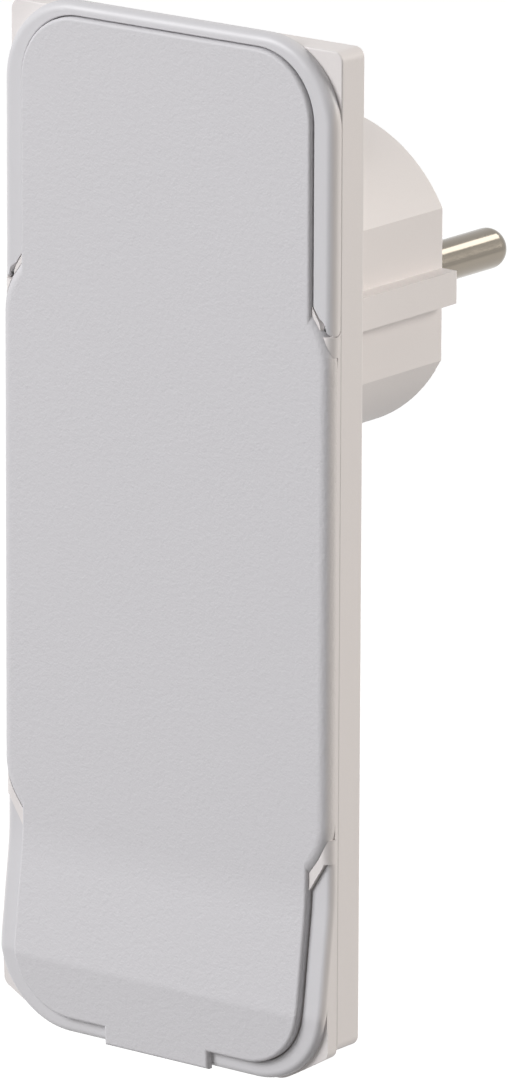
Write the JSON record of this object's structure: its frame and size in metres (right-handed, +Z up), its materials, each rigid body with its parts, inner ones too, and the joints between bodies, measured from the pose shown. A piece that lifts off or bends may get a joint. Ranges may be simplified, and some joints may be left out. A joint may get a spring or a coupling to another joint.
{
  "type": "flat mains plug",
  "caption": "Extra-flat mains plug: long thin plate, round nose with contact pins and earth strips, textured cover, and a pull bow that swings out.",
  "frame": {"origin": "midway between the two contact pins, on the nose's contact face", "axes": "+Y along the pins towards the socket, +X to the right seen from the front cover, +Z up, away from the cable end"},
  "size_m": [0.047, 0.0512, 0.1204],
  "materials": {
    "shell": "fine matt",
    "cover": "fine eroded texture",
    "bow": "satin",
    "insert": "satin",
    "nickel": "nickel plated",
    "brass": "bare",
    "steel": "zinc plated"
  },
  "bodies": {
    "plug": {"rear_housing": "shell", "front_housing": "shell", "front_panel": "cover", "end_bow": "bow", "contact_pin_left": "nickel", "contact_pin_right": "nickel", "terminal_screw_left": "steel", "terminal_screw_right": "steel", "contact_insert": "insert", "terminal_lid": "insert", "earth_bracket": "nickel", "earth_sleeve": "brass", "earth_terminal": "brass", "earth_screw": "steel", "cable_clamp": "steel", "clamp_screws": "steel", "housing_screws": "steel"},
    "bow": {"pull_bow": "bow", "bow_pivot_left": "steel", "bow_pivot_right": "steel"}
  },
  "joints": [
    {"name": "bow_hinge", "type": "hinge", "parent": "plug", "child": "bow", "pos_m": [0, -0.02927, 0.0012], "axis": [1, 0, 0], "range_deg": [0, 90]}
  ]
}
